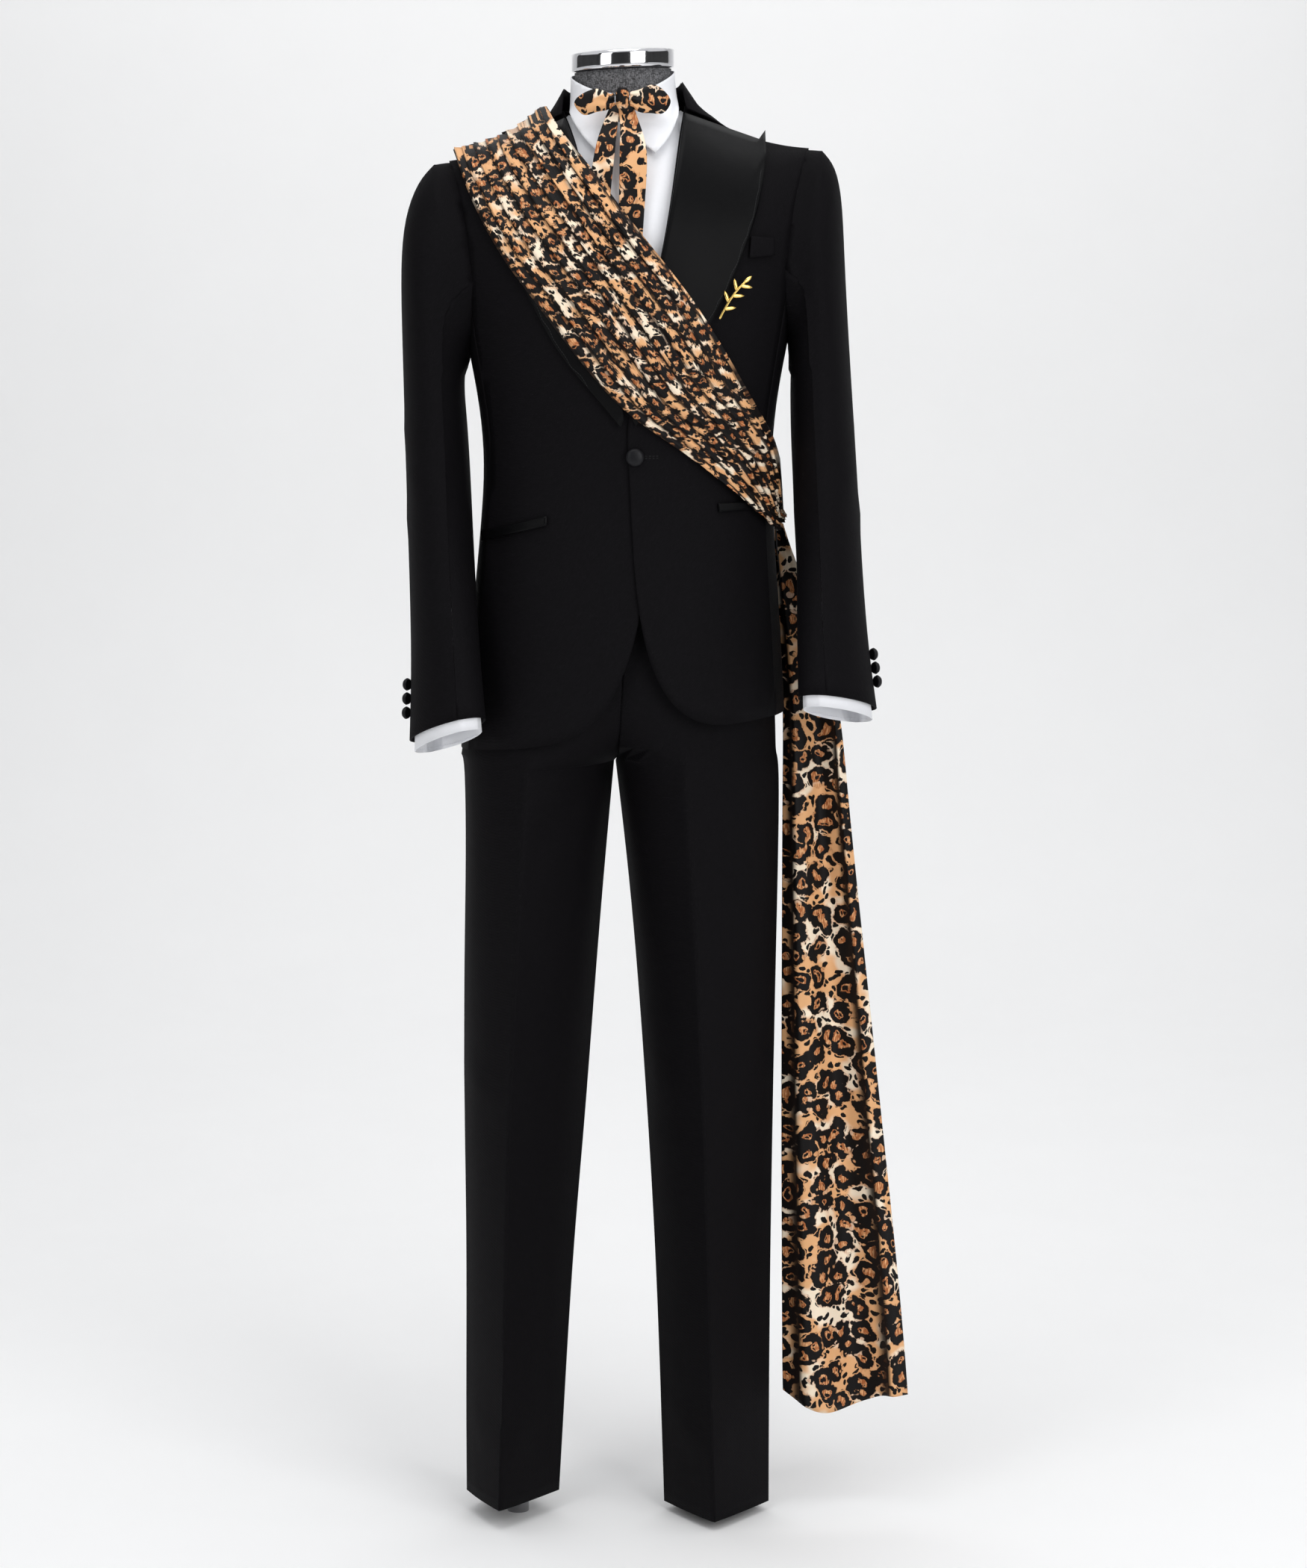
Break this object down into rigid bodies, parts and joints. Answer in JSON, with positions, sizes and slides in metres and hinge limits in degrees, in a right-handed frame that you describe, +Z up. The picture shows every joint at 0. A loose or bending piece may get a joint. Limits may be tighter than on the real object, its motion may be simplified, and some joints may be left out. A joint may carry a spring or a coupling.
{
  "type": "tuxedo on a dress form",
  "caption": "Black one-button tuxedo with peak lapels, white shirt, and a leopard print bow and shoulder sash, dressed on a form with a chromed neck cap.",
  "frame": {"origin": "centre of the round base's underside, on the floor", "axes": "+Z up, -Y to the front, +X to the wearer's left"},
  "size_m": [0.569, 0.34, 1.6648],
  "materials": {
    "wool": "matt fine twill",
    "satin": "satin sheen",
    "cotton": "matt plain weave",
    "leopard": "soft silk sheen, printed",
    "gold": "polished, gilt",
    "linen": "heathered, matt",
    "chrome": "polished",
    "button": "gloss"
  },
  "bodies": {
    "root": {"bow_knot": "leopard", "bow_loop_left": "leopard", "bow_loop_right": "leopard", "bow_tail_left": "leopard", "bow_tail_right": "leopard", "brooch": "gold", "chest_welt": "wool", "form_base": "chrome", "form_neck_cap": "chrome", "form_pole": "chrome", "form_torso": "linen", "front_button": "button", "jacket_back_left": "wool", "jacket_back_right": "wool", "jacket_collar": "wool", "jacket_front_left": "wool", "jacket_front_right": "wool", "jacket_side_left": "wool", "jacket_side_right": "wool", "lapel_left": "satin", "lapel_right": "satin", "pocket_jet_left": "satin", "pocket_jet_right": "satin", "sash_back": "leopard", "sash_front": "leopard", "sash_tail": "leopard", "shirt_back": "cotton", "shirt_collar": "cotton", "shirt_collar_stand": "cotton", "shirt_cuff_left": "cotton", "shirt_cuff_right": "cotton", "shirt_front_left": "cotton", "shirt_front_right": "cotton", "shirt_sleeve_left": "cotton", "shirt_sleeve_right": "cotton", "sleeve_button_left_1": "button", "sleeve_button_left_2": "button", "sleeve_button_left_3": "button", "sleeve_button_right_1": "button", "sleeve_button_right_2": "button", "sleeve_button_right_3": "button", "sleeve_under_left": "wool", "sleeve_under_right": "wool", "sleeve_upper_left": "wool", "sleeve_upper_right": "wool", "trouser_back_left": "wool", "trouser_back_right": "wool", "trouser_front_left": "wool", "trouser_front_right": "wool", "waistband": "wool"}
  },
  "joints": []
}
